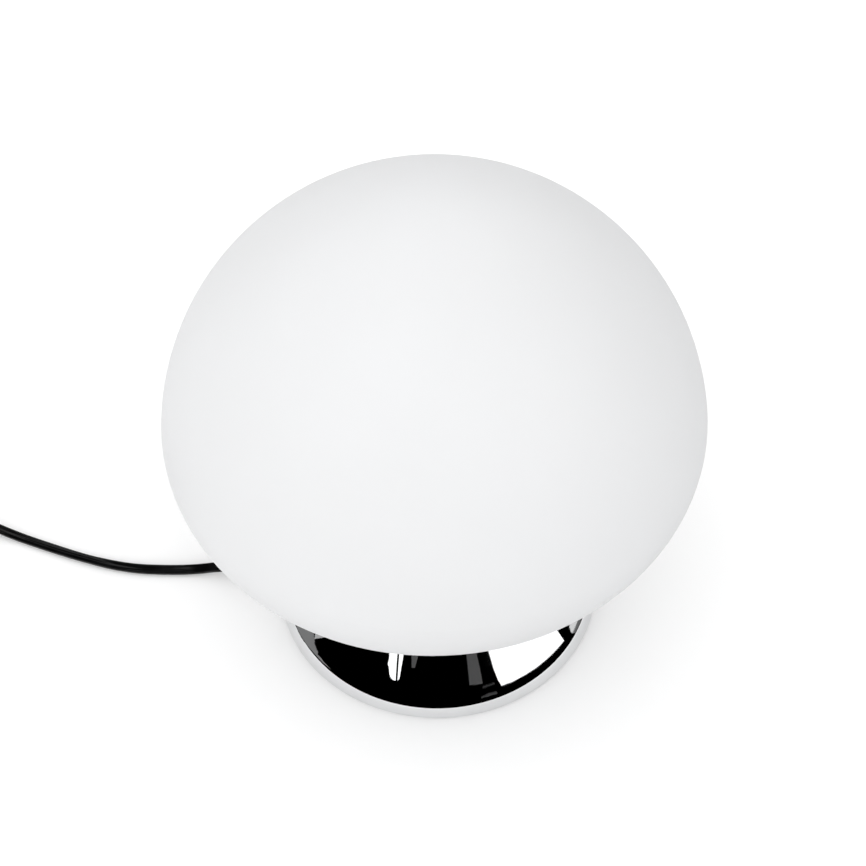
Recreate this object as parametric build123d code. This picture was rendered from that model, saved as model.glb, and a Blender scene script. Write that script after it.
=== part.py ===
from build123d import *
from math import acos, asin, atan2, cos, degrees, hypot, radians, sin, sqrt, tan
import os

# A table lamp: a blown opal glass globe that sits by its neck in a chromed gallery, on a heavy domed
# chrome base. Millimetres, +Z up, origin on the table under the middle of the base. The cord leaves
# towards -X.

# Fits
seat_gap = 0.3          # between pieces that lie against each other
screw_fit = 0.05        # round a screw, a stem or a pin in its hole
turn_gap = 0.3          # round a piece that turns or lifts

# Base shell: spun steel, a round shoulder under a shallow dome with a flat at its middle
base_radius = 93.0
shoulder_radius = 14.0
dome_radius = 125.0
dome_flat_radius = 14.0
shell_wall = 1.5
rim_z = 1.0             # the shell's lower edge stands this far off the table

# Closing plate and pad under the base
cover_z = 2.5
cover_wall = 1.5
cover_screw_inset = 11.0    # their circle, inward from where the shoulder starts
cover_screw_count = 3
pad_inset = 3.5         # from the shell's edge
pad_width = 14.5
pad_bevel = 0.4

# Ballast: an iron casting with a conical boss that the dome's flat rests on
ballast_z = 19.0        # top of the disc
boss_foot_radius = 30.0
boss_top_radius = 13.0
recess_radius = 20.0
recess_z = 18.0
channel_width = 30.0
channel_z = 15.5
channel_lap = 5.0       # how far the channel runs into the recess
tapped_roof = 3.0       # iron left over a tapped hole

# Stem: a threaded tube with a nut at each end of the stack
stem_radius = 5.0
stem_bore_radius = 3.6
stem_end = 1.0          # thread beyond the lower nut
stem_bevel = 0.6
washer_radius = 10.0
washer_wall = 1.5
nut_width = 14.0        # across its flats
nut_height = 4.0
nut_corner = 1.5        # how far the chamfer reaches in from the corners
nut_bevel = 0.9

# Gallery: the chromed cup that holds the glass by its neck
gallery_wall = 1.5
gallery_floor = 1.5
gallery_depth = 18.0    # inside, from its floor to its rim
gasket_foot = 2.5
gasket_height = 7.5
gasket_collar = 1.7     # between the neck and the cup's wall
gasket_lap = 2.0        # of its foot, inward from the glass

# Glass globe: three tangent arcs turned about the axis, ending in a short neck
globe_radius = 140.0
equator_arc = 46.0
crown_turn = 9.2        # degrees that the equator's arc turns before the crown's takes over
underside_turn = 40.0   # and below it, before the underside's does
glass_wall = 3.0
neck_radius = 42.5
neck_length = 21.2      # from the glass's end to where the underside would reach the neck
neck_root_arc = 4.0
neck_bevel = 0.5

# Lampholder for a 27 mm screw cap
holder_rise = 4.0       # stem that shows between the upper nut and the cap
holder_cap_height = 20.0
holder_cap_waist = 9.0  # height at which the cap reaches its full width
holder_cap_round = 4.0
holder_cap_foot_radius = 10.0
holder_radius = 19.5
holder_wall = 1.9
holder_skirt_height = 32.0
holder_lip = 2.0
holder_lip_round = 0.7
grip_count = 12
grip_radius = 0.7
grip_length = 19.2
holder_stem_depth = 10.0
spigot_height = 4.0
insert_height = 6.0
insert_bevel = 0.6
thread_shell_radius = 13.35
thread_shell_wall = 0.5
thread_shell_height = 18.5
leaf_width = 6.0
leaf_wall = 0.6
leaf_rise = 2.4
leaf_foot = 10.0
leaf_heel = 4.0         # length of its flat foot
leaf_flat = 3.0         # half of its flat tip
leaf_toe = (2.0, 0.7)   # turned-down end: along and down
terminal_offset = 8.6
terminal_width = 6.0
terminal_length = 7.0
terminal_height = 6.5
terminal_screw_radius = 1.4
terminal_screw_length = 5.0
terminal_hole = 3.0     # depth of the holes for the wire and the screw

# Bulb with a 27 mm screw cap
bulb_cap_radius = 13.05
bulb_cap_height = 22.0
bulb_cap_wall = 0.4
bulb_cap_taper = 2.2
bulb_insulator_height = 3.2
bulb_insulator_radius = 11.4
bulb_contact_radius = 4.6
bulb_contact_height = 1.6
bulb_contact_round = 1.1
bulb_insulator_step = 0.8
bulb_housing_height = 29.0
bulb_radius = 30.0
bulb_diffuser_height = 51.0
bulb_wall = 1.2
bulb_collar = (0.6, 3.0)    # how far the housing's collar stands proud of the cap, and its height
bulb_plug_depth = 6.0   # of the housing inside the cap
bulb_rim_inset = 1.5    # of the diffuser's rim from its widest place
bulb_flare_radius = 60.0

# Cord: flat two-core flex
cord_width = 6.0
cord_thickness = 3.5
cord_exit_z = 7.6
core_radius = 1.1
core_offset = 1.4
core_bend = 6.0
wire_bend = 2.0
wire_rise = 1.5         # of the cores over the stem before they spread
wire_entry = 2.5        # straight length below and inside a terminal
jacket_past_clamp = 9.0     # of the flat cord, before it splits into its cores

# Cord relief at the base, and the clamp behind it
relief_tail_length = 25.0   # from the shell's edge
relief_waist = (9.6, 6.9)
relief_tip_size = (7.4, 4.9)
relief_flange = (15.0, 6.9)
relief_flange_length = 3.5
relief_collar = (12.4, 8.8)
relief_collar_length = 2.0
clamp_setback = 17.0    # inward from where the shoulder starts
clamp_corner = 2.0
clamp_length = 10.0
clamp_width = 25.0
clamp_screw_spacing = 16.0
clamp_height = 7.5

# Screws
cover_screw_radius = 2.0
cover_screw_length = 9.0
clamp_screw_radius = 1.5
clamp_screw_length = 9.2
screw_head_scale = 1.9  # head radius over thread radius
screw_head_height = 1.7

# In-line switch on the cord
switch_length = 58.0
switch_width = 24.0
switch_height = 17.0
switch_wall = 2.2
switch_split = 8.5
switch_corner = 7.0
switch_edge = 2.4
switch_x = -323.0
switch_y = 28.0
rocker_length = 20.0
rocker_width = 10.5
rocker_pivot_z = 12.2
rocker_pin_radius = 1.2
rocker_proud = 2.2
rocker_tilt = 8.0
rocker_depth = 3.2
rocker_ear = 2.6        # wall that holds a pin
rocker_ear_length = 6.0
rocker_pin_gap = 0.4    # at each pin's end
switch_screw_offset = (21.5, 7.0)
switch_screw_radius = 1.25
switch_screw_length = 10.0
switch_screw_sink = 0.4
switch_post_radius = 2.6
contact_size = (9.0, 4.0, 3.0)
contact_offset = 10.0

# Plug: a flat two-pin plug with a moulded tail
plug_width = 35.3
plug_height = 13.7
plug_length = 36.0
plug_shoulder = 15.0    # length of its full-width part
plug_waist = 15.0
plug_corner = 4.0
plug_edge = 2.6
plug_tail_length = 25.0
plug_tail_root = (10.5, 8.4)
plug_tail_end = (7.6, 5.1)
plug_tail_lap = 4.0     # inside the body
pin_radius = 2.0
pin_core_radius = 1.45
pin_length = 19.0
pin_round = 1.2
pin_sleeve_length = 10.0
pin_sleeve_step = 0.1   # the sleeve is this much thinner than the pin
pin_spacing = 18.6
pin_root = 8.0

# Coil of the cord that is put away
coil_turn_radius = 36.0
coil_width = 14.8
coil_height = 12.6
coil_corner = 4.0

# Route of the free cord, chosen by hand: from the relief to the switch, then on to the coil
lead_points = [
    (-118.0, 0.0, 7.6),
    (-129.0, 0.0, 7.6),
    (-143.0, 0.8, 2.9),
    (-160.0, 0.1, 2.3),
    (-184.0, 0.6, 2.3),
    (-210.0, 6.4, 2.3),
    (-238.0, 15.6, 2.3),
    (-259.0, 23.0, 2.6),
    (-277.0, 28.0, 8.5),
    (-294.0, 28.0, 8.5),
]
run_points = [(-352.0, 28.0, 8.5), (-364.0, 28.0, 8.5), (-378.0, 28.0, 3.6), (-388.0, 28.0, 3.2)]
tail_points = [(-388.0, -55.0, 9.4), (-377.0, -55.0, 9.4), (-365.5, -55.0, 6.85), (-355.0, -55.0, 6.85)]

# Heights and radii worked out from the sizes above
shoulder_centre = base_radius - shoulder_radius
dome_centre_z = rim_z - sqrt((dome_radius - shoulder_radius) ** 2 - shoulder_centre**2)
shoulder_angle = degrees(acos(shoulder_centre / (dome_radius - shoulder_radius)))
flat_z = dome_centre_z + sqrt(dome_radius**2 - dome_flat_radius**2)
cover_top = cover_z + cover_wall
cover_screw_circle = shoulder_centre - cover_screw_inset
pad_outer_radius = base_radius - pad_inset
relief_tip = base_radius + relief_tail_length
clamp_x = shoulder_centre - clamp_setback
inner_cord_end = clamp_x - clamp_length / 2 - jacket_past_clamp
gallery_floor_z = flat_z + gallery_floor
gallery_bore = neck_radius + turn_gap + gasket_collar
gallery_radius = gallery_bore + gallery_wall
upper_nut_top = gallery_floor_z + washer_wall + nut_height
neck_end_z = gallery_floor_z + gasket_foot
crown_tilt, underside_tilt = radians(crown_turn), radians(underside_turn)
crown_arc = equator_arc + (globe_radius - equator_arc) / cos(crown_tilt)
underside_arc = equator_arc + (globe_radius - equator_arc) / cos(underside_tilt)
underside_z = neck_end_z + neck_length + sqrt(underside_arc**2 - neck_radius**2)
equator_z = underside_z - (underside_arc - equator_arc) * sin(underside_tilt)
crown_z = equator_z - (crown_arc - equator_arc) * sin(crown_tilt)
holder_z = upper_nut_top + holder_rise
stem_top = holder_z + holder_stem_depth
lower_nut_z = recess_z - washer_wall - nut_height
stem_bottom = lower_nut_z - stem_end
skirt_z = holder_z + holder_cap_height
insert_z = skirt_z + spigot_height
insert_top = insert_z + insert_height
skirt_top = skirt_z + holder_skirt_height
contact_z = insert_top + leaf_rise + leaf_wall + turn_gap
bulb_cap_z = contact_z + bulb_contact_height + bulb_insulator_height
bulb_housing_z = bulb_cap_z + bulb_cap_height
diffuser_z = bulb_housing_z + bulb_housing_height
switch_screw_seat = screw_head_height + switch_screw_sink
plug_mouth_x = tail_points[-1][0]
plug_y = tail_points[-1][1]
plug_z = plug_height / 2
coil_x = run_points[-1][0]
coil_y = (run_points[-1][1] + tail_points[0][1]) / 2


# ---- Forms that several pieces share

def turned(*edges):
    """A solid turned about the lamp's axis from edges drawn as (radius, height)."""
    return revolve(Plane.XZ * make_face(edges), Axis.Z)


def tube(inner, outer, bottom, top):
    """An upright tube about the lamp's axis."""
    return Pos(0, 0, bottom) * extrude(Circle(outer) - Circle(inner), top - bottom)


def rod(radius, bottom, top):
    """An upright round bar about the lamp's axis."""
    return Pos(0, 0, bottom) * extrude(Circle(radius), top - bottom)


def block(x, y, z):
    """A box from its three pairs of limits."""
    return Pos(x[0], y[0], z[0]) * Box(
        x[1] - x[0], y[1] - y[0], z[1] - z[0], align=(Align.MIN, Align.MIN, Align.MIN)
    )


def screw(radius, length, head_z, up=True):
    """A pan-head screw with a cross slot; head_z is the seat of its head, which lies above when up."""
    way = 1 if up else -1
    head = Pos(0, 0, way * screw_head_height / 2) * Cylinder(radius * screw_head_scale, screw_head_height)
    rim = head.edges().filter_by(GeomType.CIRCLE).sort_by(Axis.Z)[-1 if up else 0]
    head = fillet(rim, 0.4 * screw_head_height)
    slot = Pos(0, 0, way * screw_head_height) * Box(radius * 2.2, radius * 0.5, screw_head_height)
    shank = Pos(0, 0, -way * length / 2) * Cylinder(radius, length)
    return Pos(0, 0, head_z) * (head - slot - Rot(0, 0, 90) * slot + shank)


def around(count, circle, piece, start=0.0):
    """Copies of a piece round the axis, the first one at the start angle."""
    return [Rot(0, 0, start + 360 / count * i) * Pos(circle, 0, 0) * piece for i in range(count)]


def save(node, *solids):
    """Writes the solids of one node."""
    export_step(Compound(children=[s for shape in solids for s in shape.solids()]), f"parts/{node}.step")


# ---- Base

def dome(inset):
    """The base's whole shape, inset from its outside: shoulder, dome and flat top."""
    top = flat_z - inset
    end = degrees(asin((top - dome_centre_z) / (dome_radius - inset)))
    dome_arc = CenterArc((0, dome_centre_z), dome_radius - inset, shoulder_angle, end - shoulder_angle)
    return turned(
        CenterArc((shoulder_centre, rim_z), shoulder_radius - inset, 0, shoulder_angle),
        dome_arc,
        Line(dome_arc @ 1, (0, top)),
        Line((0, top), (0, rim_z)),
        Line((0, rim_z), (base_radius - inset, rim_z)),
    )


def oval_bar(size, start, end):
    """A flat-sided bar of oval section along -X at the cord's exit, between two distances from the axis."""
    section = Plane((-start, 0, cord_exit_z), x_dir=(0, 1, 0), z_dir=(-1, 0, 0)) * SlotOverall(*size)
    return extrude(section, end - start)


def base_shell():
    waist = tuple(side + 2 * screw_fit for side in relief_waist)
    hollow = dome(0) - dome(shell_wall) - rod(stem_radius + screw_fit, rim_z, flat_z + 1)
    return hollow - oval_bar(waist, shoulder_centre, base_radius + 1)


def base_ballast():
    disc = dome(shell_wall + seat_gap) & rod(base_radius, cover_top, ballast_z)
    boss_top = flat_z - shell_wall
    boss = turned(
        Line((0, ballast_z), (boss_foot_radius, ballast_z)),
        Line((boss_foot_radius, ballast_z), (boss_top_radius, boss_top)),
        Line((boss_top_radius, boss_top), (0, boss_top)),
        Line((0, boss_top), (0, ballast_z)),
    )
    casting = disc + boss - rod(recess_radius, cover_top, recess_z)
    casting -= rod(stem_radius + screw_fit, recess_z, boss_top)
    casting -= block((-base_radius, channel_lap - recess_radius), (-channel_width / 2, channel_width / 2),
                     (cover_top, channel_z))
    tapped = rod(cover_screw_radius + screw_fit, cover_top, ballast_z - tapped_roof)
    for hole in around(cover_screw_count, cover_screw_circle, tapped):
        casting -= hole
    return casting


def base_cover():
    shell_bore = shoulder_centre + sqrt((shoulder_radius - shell_wall) ** 2 - (cover_top - rim_z) ** 2)
    plate = rod(shell_bore - seat_gap, cover_z, cover_top)
    for hole in around(cover_screw_count, cover_screw_circle, rod(cover_screw_radius + screw_fit, 0, cover_top)):
        plate -= hole
    for hole in clamp_places(rod(clamp_screw_radius + screw_fit, 0, cover_top)):
        plate -= hole
    return plate


def base_pad():
    pad = tube(pad_outer_radius - pad_width, pad_outer_radius, 0, cover_z)
    return chamfer(pad.edges().filter_by(GeomType.CIRCLE).group_by(Axis.Z)[0], pad_bevel)


# ---- Stem stack

def nut(bottom):
    """A hexagon nut, chamfered at both faces."""
    hexagon = RegularPolygon(nut_width / 2, 6, major_radius=False)
    flat, corner, top = nut_width / 2, nut_width / 2 + nut_corner, bottom + nut_height
    corners = turned(
        Line((0, bottom), (flat, bottom)),
        Line((flat, bottom), (corner, bottom + nut_bevel)),
        Line((corner, bottom + nut_bevel), (corner, top - nut_bevel)),
        Line((corner, top - nut_bevel), (flat, top)),
        Line((flat, top), (0, top)),
        Line((0, top), (0, bottom)),
    )
    blank = Pos(0, 0, bottom) * extrude(hexagon, nut_height)
    return (blank & corners) - rod(stem_radius + screw_fit, bottom, top)


def washer(bottom):
    return tube(stem_radius + screw_fit, washer_radius, bottom, bottom + washer_wall)


def stem():
    pipe = tube(stem_bore_radius, stem_radius, stem_bottom, stem_top)
    ends = pipe.edges().filter_by(GeomType.CIRCLE)
    return chamfer(ends.filter_by(lambda e: e.radius > (stem_bore_radius + stem_radius) / 2), stem_bevel)


# ---- Gallery, gasket and glass

def gallery():
    def skirt_z(radius):
        return dome_centre_z + sqrt(dome_radius**2 - radius**2) + seat_gap

    rim = gallery_floor_z + gallery_depth
    lip = (gallery_bore + gallery_radius) / 2
    lip_radius = gallery_wall / 2
    cup = turned(
        Line((stem_radius + screw_fit, flat_z), (gallery_bore, flat_z)),
        Line((gallery_bore, flat_z), (gallery_bore, skirt_z(gallery_bore))),
        Line((gallery_bore, skirt_z(gallery_bore)), (gallery_radius, skirt_z(gallery_radius))),
        Line((gallery_radius, skirt_z(gallery_radius)), (gallery_radius, rim - lip_radius)),
        CenterArc((lip, rim - lip_radius), lip_radius, 0, 180),
        Line((gallery_bore, rim - lip_radius), (gallery_bore, gallery_floor_z)),
        Line((gallery_bore, gallery_floor_z), (stem_radius + screw_fit, gallery_floor_z)),
        Line((stem_radius + screw_fit, gallery_floor_z), (stem_radius + screw_fit, flat_z)),
    )
    return cup


def globe_gasket():
    foot = tube(neck_radius - glass_wall - gasket_lap, gallery_bore, gallery_floor_z, neck_end_z)
    collar = tube(neck_radius + turn_gap, gallery_bore, neck_end_z, gallery_floor_z + gasket_height)
    return foot + collar


def glass_globe():
    """A blown shell of even wall: crown, equator and underside arcs, then a small arc into the neck."""
    root_r = neck_radius + neck_root_arc
    root_z = underside_z - sqrt((underside_arc + neck_root_arc) ** 2 - root_r**2)
    root_angle = degrees(atan2(underside_z - root_z, -root_r))
    bevel_z = neck_end_z + neck_bevel

    def skin(inset):
        """One face of the glass, from the crown down to the end of the neck."""
        return [
            CenterArc((0, crown_z), crown_arc - inset, crown_turn, 90 - crown_turn),
            CenterArc((globe_radius - equator_arc, equator_z), equator_arc - inset,
                      -underside_turn, crown_turn + underside_turn),
            CenterArc((0, underside_z), underside_arc - inset, root_angle - 180, 180 - underside_turn - root_angle),
            CenterArc((root_r, root_z), neck_root_arc + inset, root_angle, 180 - root_angle),
            Line((neck_radius - inset, root_z), (neck_radius - inset, bevel_z)),
        ]

    outer_foot = (neck_radius - neck_bevel, neck_end_z)
    inner_foot = (neck_radius - glass_wall + neck_bevel, neck_end_z)
    return turned(
        *skin(0),
        *skin(glass_wall),
        Line((0, crown_z + crown_arc), (0, crown_z + crown_arc - glass_wall)),
        Line((neck_radius, bevel_z), outer_foot),
        Line(outer_foot, inner_foot),
        Line(inner_foot, (neck_radius - glass_wall, bevel_z)),
    )


# ---- Lampholder

def holder_cap():
    spigot = holder_radius - holder_wall - screw_fit
    waist_z = holder_z + holder_cap_waist
    outside = turned(
        Line((0, holder_z), (holder_cap_foot_radius, holder_z)),
        Line((holder_cap_foot_radius, holder_z), (holder_radius, waist_z)),
        Line((holder_radius, waist_z), (holder_radius, skirt_z)),
        Line((holder_radius, skirt_z), (spigot, skirt_z)),
        Line((spigot, skirt_z), (spigot, insert_z)),
        Line((spigot, insert_z), (0, insert_z)),
        Line((0, insert_z), (0, holder_z)),
    )
    inner = spigot - holder_wall
    hollow = rod(inner, stem_top, insert_z)
    cap = outside - hollow - rod(stem_radius + screw_fit, holder_z, stem_top)
    shoulder = cap.edges().filter_by(GeomType.CIRCLE).filter_by(lambda e: abs(e.radius - holder_radius) < 0.01)
    return fillet(shoulder.sort_by(Axis.Z)[0], holder_cap_round)


def holder_skirt():
    bore = holder_radius - holder_wall
    lip = thread_shell_radius + thread_shell_wall + seat_gap
    skirt = tube(bore, holder_radius, skirt_z, skirt_top)
    skirt += tube(lip, holder_radius, skirt_top - holder_lip, skirt_top)
    grip = Pos(holder_radius, 0, (skirt_z + skirt_top) / 2) * Cylinder(grip_radius, grip_length)
    for groove in around(grip_count, 0, grip):
        skirt -= groove
    top = skirt.edges().filter_by(GeomType.CIRCLE).group_by(Axis.Z)[-1]
    return fillet(top, holder_lip_round)


def holder_insert():
    body = rod(holder_radius - holder_wall - screw_fit, insert_z, insert_top)
    body = chamfer(body.edges().filter_by(GeomType.CIRCLE), insert_bevel)
    for side in (-1, 1):
        body -= Pos(0, side * terminal_offset, 0) * rod(terminal_screw_radius + screw_fit, insert_z, insert_top)
    return body


def holder_screw_shell():
    outer = thread_shell_radius + thread_shell_wall
    return tube(thread_shell_radius, outer, insert_top, insert_top + thread_shell_height)


def holder_centre_contact():
    """A bronze leaf, flat at its foot and sprung up to a flat tip under the bulb."""
    foot_z, tip_z = insert_top, insert_top + leaf_rise
    toe, drop = leaf_toe
    lower = [(leaf_foot, foot_z), (leaf_foot - leaf_heel, foot_z), (leaf_flat, tip_z), (-leaf_flat, tip_z),
             (-leaf_flat - toe, tip_z - drop)]
    upper = [(x, z + leaf_wall) for x, z in reversed(lower)]
    profile = make_face(Polyline(*lower, *upper, close=True))
    return Pos(0, leaf_width / 2, 0) * extrude(Plane.XZ * profile, leaf_width)


def terminal_places(piece):
    return [Pos(0, side * terminal_offset, 0) * piece for side in (-1, 1)]


def holder_terminal():
    """A brass block under the insert, with a hole for the wire's end and one for its screw."""
    half_x, half_y = terminal_width / 2, terminal_length / 2
    blank = block((-half_x, half_x), (-half_y, half_y), (insert_z - terminal_height, insert_z))
    foot = insert_z - terminal_height
    entry = rod(core_radius, foot, foot + terminal_hole)
    return blank - entry - rod(terminal_screw_radius + screw_fit, insert_z - terminal_hole, insert_z)


# ---- Bulb

def bulb_contact():
    button = rod(bulb_contact_radius, contact_z, contact_z + bulb_contact_height)
    return fillet(button.edges().filter_by(GeomType.CIRCLE).sort_by(Axis.Z)[0], bulb_contact_round)


def bulb_insulator():
    low, step = contact_z + bulb_contact_height, bulb_contact_radius + bulb_insulator_step
    return turned(
        Line((0, low), (step, low)),
        Line((step, low), (bulb_insulator_radius, bulb_cap_z)),
        Line((bulb_insulator_radius, bulb_cap_z), (0, bulb_cap_z)),
        Line((0, bulb_cap_z), (0, low)),
    )


def bulb_cap():
    """The thin metal cap, tapered to the insulator and rolled at its top."""
    wall, top = bulb_cap_wall, bulb_housing_z
    inner = bulb_cap_radius - wall
    start = bulb_cap_z + bulb_cap_taper
    return turned(
        Line((bulb_insulator_radius - wall, bulb_cap_z), (bulb_insulator_radius, bulb_cap_z)),
        Line((bulb_insulator_radius, bulb_cap_z), (bulb_cap_radius, start)),
        Line((bulb_cap_radius, start), (bulb_cap_radius, top)),
        Line((bulb_cap_radius, top), (inner, top)),
        Line((inner, top), (inner, start)),
        Line((inner, start), (bulb_insulator_radius - wall, bulb_cap_z)),
    )


def bulb_housing():
    """The moulded body that widens from the cap to the diffuser."""
    low, high = bulb_housing_z, diffuser_z
    proud, collar = bulb_collar
    neck, inner = bulb_cap_radius + proud, bulb_cap_radius - bulb_cap_wall - screw_fit
    rim = (bulb_radius - bulb_rim_inset, high)
    return turned(
        Line((0, low - bulb_plug_depth), (inner, low - bulb_plug_depth)),
        Line((inner, low - bulb_plug_depth), (inner, low)),
        Line((inner, low), (neck, low)),
        Line((neck, low), (neck, low + collar)),
        RadiusArc((neck, low + collar), rim, bulb_flare_radius),
        Line(rim, (0, high)),
        Line((0, high), (0, low - bulb_plug_depth)),
    )


def bulb_diffuser():
    """The opal dome: it leaves the housing's rim, widens to the bulb's radius and closes on the axis."""
    rim_r = bulb_radius - bulb_rim_inset
    centre_z = diffuser_z + bulb_diffuser_height - bulb_radius

    def skin(inset):
        start, widest = (rim_r - inset, diffuser_z), (bulb_radius - inset, centre_z)
        side = Spline(start, widest, tangents=((bulb_rim_inset / (centre_z - diffuser_z) * 2, 1), (0, 1)))
        return [side, CenterArc((0, centre_z), bulb_radius - inset, 0, 90)]

    top = centre_z + bulb_radius
    return turned(
        *skin(0),
        *skin(bulb_wall),
        Line((0, top), (0, top - bulb_wall)),
        Line((rim_r, diffuser_z), (rim_r - bulb_wall, diffuser_z)),
    )


# ---- Cord inside the lamp

def cord_relief():
    """A moulded bush: a flange inside the shell, a waist in its hole, and a tapered tail outside."""
    flange = oval_bar(relief_flange, shoulder_centre, base_radius) & dome(shell_wall + seat_gap)
    skin_x = shoulder_centre + sqrt((shoulder_radius - shell_wall) ** 2 - (cord_exit_z - rim_z) ** 2)
    flange -= block((-skin_x + relief_flange_length, 0), (-base_radius, base_radius), (0, base_radius))
    flange += oval_bar(relief_waist, skin_x - relief_flange_length, base_radius)
    collar = oval_bar(relief_collar, shoulder_centre, base_radius + relief_collar_length) - dome(-seat_gap)
    start = base_radius + relief_collar_length
    taper = loft([
        Plane((-x, 0, cord_exit_z), x_dir=(0, 1, 0), z_dir=(-1, 0, 0)) * SlotOverall(*size)
        for x, size in ((start, relief_waist), (relief_tip, relief_tip_size))
    ])
    bore = (cord_width + 2 * screw_fit, cord_thickness + 2 * screw_fit)
    return flange + collar + taper - oval_bar(bore, 0, relief_tip + 1)


def clamp_places(piece):
    return [Pos(-clamp_x, side * clamp_screw_spacing / 2, 0) * piece for side in (-1, 1)]


def clamp_half(low, high):
    """One half of the cord clamp, with its two screw holes."""
    half = block((-clamp_x - clamp_length / 2, -clamp_x + clamp_length / 2),
                 (-clamp_width / 2, clamp_width / 2), (low, high))
    half = fillet(half.edges().filter_by(Axis.Z), clamp_corner)
    for hole in clamp_places(rod(clamp_screw_radius + screw_fit, low, high)):
        half -= hole
    return half


def cord_clamp_saddle():
    split = cord_exit_z - cord_thickness / 2
    return clamp_half(split, cover_top + clamp_height) - oval_bar(
        (cord_width + 2 * screw_fit, cord_thickness + 2 * screw_fit), 0, base_radius
    )


def cord_clamp_base():
    return clamp_half(cover_top, cord_exit_z - cord_thickness / 2 - screw_fit)


def inner_wires():
    """The two cores, from the end of the flat cord up through the stem to the terminals."""
    wires = []
    for side in (-1, 1):
        y, end_y = side * core_offset, side * terminal_offset
        path = FilletPolyline(
            (-inner_cord_end, y, cord_exit_z),
            (0, y, cord_exit_z),
            (0, y, stem_top + wire_rise),
            (0, end_y, insert_z - terminal_height - wire_entry),
            (0, end_y, insert_z - terminal_height + wire_entry),
            radius=[core_bend, wire_bend, wire_bend],
        )
        start = Plane((-inner_cord_end, y, cord_exit_z), x_dir=(0, 1, 0), z_dir=(1, 0, 0))
        wires.append(sweep(start * Circle(core_radius), path))
    return wires


# ---- Free cord

def cord_tube(name, points):
    """The flat cord along straight runs joined by arcs, each as large as its runs allow."""
    places = [Vector(*p) for p in points]
    radii = []
    for before, corner, after in zip(places, places[1:], places[2:]):
        arriving, leaving = corner - before, after - corner
        turn = radians(arriving.get_angle(leaving))
        radii.append(0.45 * min(arriving.length, leaving.length) / tan(turn / 2))
    path = FilletPolyline(*points, radius=radii)
    along = (places[1] - places[0]).normalized()
    start = Plane(places[0], x_dir=along.cross(Vector(0, 0, 1)), z_dir=along)
    section = start * SlotOverall(cord_width, cord_thickness)
    solid = sweep(section, path)
    length = sum(edge.length for edge in path.edges())
    print(name, "length", round(length, 1), "radii", [round(r) for r in radii],
          "volume over section times length", round(solid.volume / (section.area * length), 4))
    return solid


def cord_coil():
    section = RectangleRounded(coil_width, coil_height, coil_corner)
    ring = revolve(Plane.XZ * Pos(coil_turn_radius, coil_height / 2, 0) * section, Axis.Z)
    return Pos(coil_x, coil_y, 0) * ring


# ---- In-line switch, drawn about its own middle

def at_switch(piece):
    return Pos(switch_x, switch_y, 0) * piece


def switch_body(inset):
    """The switch's whole rounded outline, inset on every side."""
    outline = RectangleRounded(switch_length - 2 * inset, switch_width - 2 * inset, switch_corner - inset)
    return Pos(0, 0, inset) * extrude(outline, switch_height - 2 * inset)


def switch_cord_way():
    section = Plane.YZ * Pos(0, switch_split, 0) * SlotOverall(cord_width + 2 * screw_fit,
                                                               cord_thickness + 2 * screw_fit)
    way = extrude(section, switch_length, both=True)
    inside = switch_length / 2 - 1.5 * switch_wall
    return way - block((-inside, inside), (-switch_width, switch_width), (0, switch_height))


def switch_posts(radius, low, high):
    dx, dy = switch_screw_offset
    return [Pos(sx * dx, sx * dy, 0) * rod(radius, low, high) for sx in (-1, 1)]


def switch_lower():
    solid = fillet(switch_body(0).edges().group_by(Axis.Z)[0], switch_edge)
    half = (solid - switch_body(switch_wall)) & rod(switch_length, 0, switch_split)
    for post in switch_posts(switch_post_radius, switch_wall / 2, switch_split):
        half += post
    for hole in switch_posts(switch_screw_radius + screw_fit, 0, switch_split):
        half -= hole
    for hole in switch_posts(switch_screw_radius * screw_head_scale + seat_gap, 0, switch_screw_seat):
        half -= hole
    return half - switch_cord_way()


def rocker_window():
    length, width = rocker_length + 2 * turn_gap, rocker_width + 2 * turn_gap
    return block((-length / 2, length / 2), (-width / 2, width / 2), (rocker_pivot_z, switch_height))


def switch_upper():
    solid = fillet(switch_body(0).edges().group_by(Axis.Z)[-1], switch_edge)
    half = (solid - switch_body(switch_wall)) & Pos(0, 0, switch_split) * rod(switch_length, 0, switch_height)
    half -= rocker_window()
    ear_low = rocker_pivot_z - 2 * rocker_pin_radius
    inner = rocker_width / 2 + turn_gap
    for side in (-1, 1):
        ear = block((-rocker_ear_length / 2, rocker_ear_length / 2), (inner, inner + rocker_ear),
                    (ear_low, switch_height - switch_wall / 2))
        half += ear if side > 0 else mirror(ear, Plane.XZ)
    pin_hole = Rot(90, 0, 0) * Cylinder(rocker_pin_radius + screw_fit, 2 * (inner + rocker_ear))
    half -= Pos(0, 0, rocker_pivot_z) * pin_hole
    for post in switch_posts(switch_post_radius, switch_split, switch_height - switch_wall / 2):
        half += post
    screw_end = switch_screw_seat + switch_screw_length + 2 * screw_fit
    for hole in switch_posts(switch_screw_radius + screw_fit, switch_split, screw_end):
        half -= hole
    return half - switch_cord_way()


def switch_rocker():
    """A see-saw key on two pins: its ends are arcs about the pivot, so they clear the window."""
    reach = rocker_length / 2
    top = switch_height - rocker_pivot_z + rocker_proud
    dished = Polyline((-reach, top), (0, top - reach * tan(radians(rocker_tilt))), (reach, top),
                      (reach, -rocker_depth), (-reach, -rocker_depth), close=True)
    profile = make_face(dished) & Circle(hypot(reach, 0))
    key = Pos(0, rocker_width / 2, 0) * extrude(Plane.XZ * profile, rocker_width)
    pin = Rot(90, 0, 0) * Cylinder(rocker_pin_radius, rocker_width + 2 * (turn_gap + rocker_ear - rocker_pin_gap))
    return Pos(0, 0, rocker_pivot_z) * Rot(0, rocker_tilt, 0) * (key + pin)


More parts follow.
